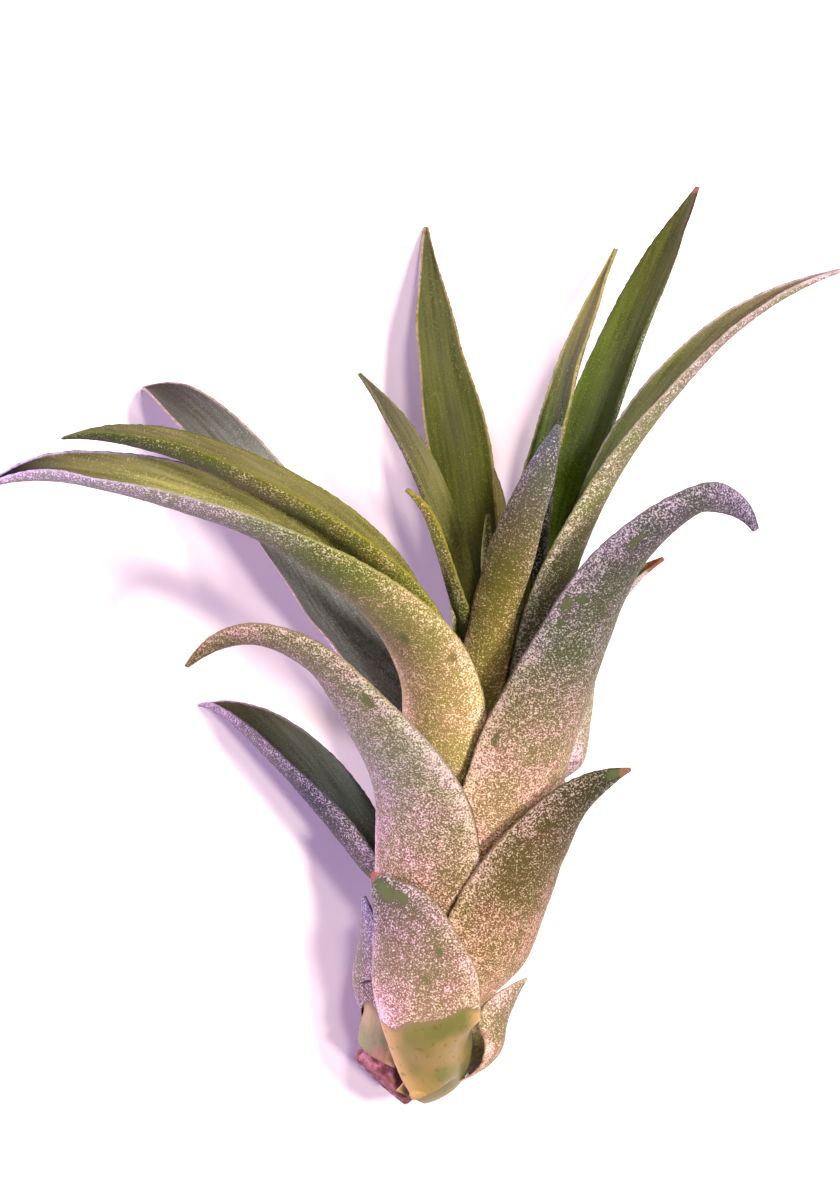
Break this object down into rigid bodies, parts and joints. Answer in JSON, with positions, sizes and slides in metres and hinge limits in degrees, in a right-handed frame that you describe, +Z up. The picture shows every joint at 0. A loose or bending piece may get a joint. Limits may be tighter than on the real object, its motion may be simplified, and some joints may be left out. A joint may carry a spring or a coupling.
{
  "type": "air plant",
  "caption": "Cut rosette air plant lying on its side: silvery scurfy leaves that spiral round a short stem, some arching and curled at the tip.",
  "frame": {"origin": "middle of the footprint, on the surface that the plant lies on", "axes": "+Z up from that surface, +Y along the stem towards the leaf tips, +X to the right"},
  "size_m": [0.1242, 0.1396, 0.0504],
  "materials": {
    "silver_leaf": "olive green leaf densely covered in fine silvery scales",
    "gold_leaf": "golden olive leaf with fine pale scales, greener towards the tip",
    "olive_leaf": "olive leaf, greener inside, with fine pale scales and thin pale margins",
    "green_leaf": "mid green leaf, sparsely scaled, satin inside",
    "cut_stem": "dull woody stem with a dried red-brown cut face"
  },
  "bodies": {
    "root": {"stem": "cut_stem", "basal_front_leaf": "silver_leaf", "basal_right_leaf": "silver_leaf", "basal_left_leaf": "silver_leaf", "lower_right_leaf": "silver_leaf", "under_leaf_low": "silver_leaf", "front_curled_leaf": "silver_leaf", "low_left_leaf": "olive_leaf", "under_leaf_right": "silver_leaf", "under_leaf_middle": "silver_leaf", "big_silver_leaf": "silver_leaf", "tucked_right_leaf": "silver_leaf", "long_left_leaf": "gold_leaf", "back_left_leaf": "olive_leaf", "under_leaf_high": "silver_leaf", "long_right_leaf": "olive_leaf", "nested_left_leaf": "olive_leaf", "under_leaf_inner": "silver_leaf", "tall_right_leaf": "green_leaf", "tall_centre_leaf": "green_leaf", "blunt_inner_leaf": "olive_leaf", "thin_inner_leaf": "green_leaf", "narrow_left_leaf": "olive_leaf", "narrow_right_leaf": "green_leaf", "pale_inner_leaf": "silver_leaf", "heart_leaf": "green_leaf"}
  },
  "joints": []
}
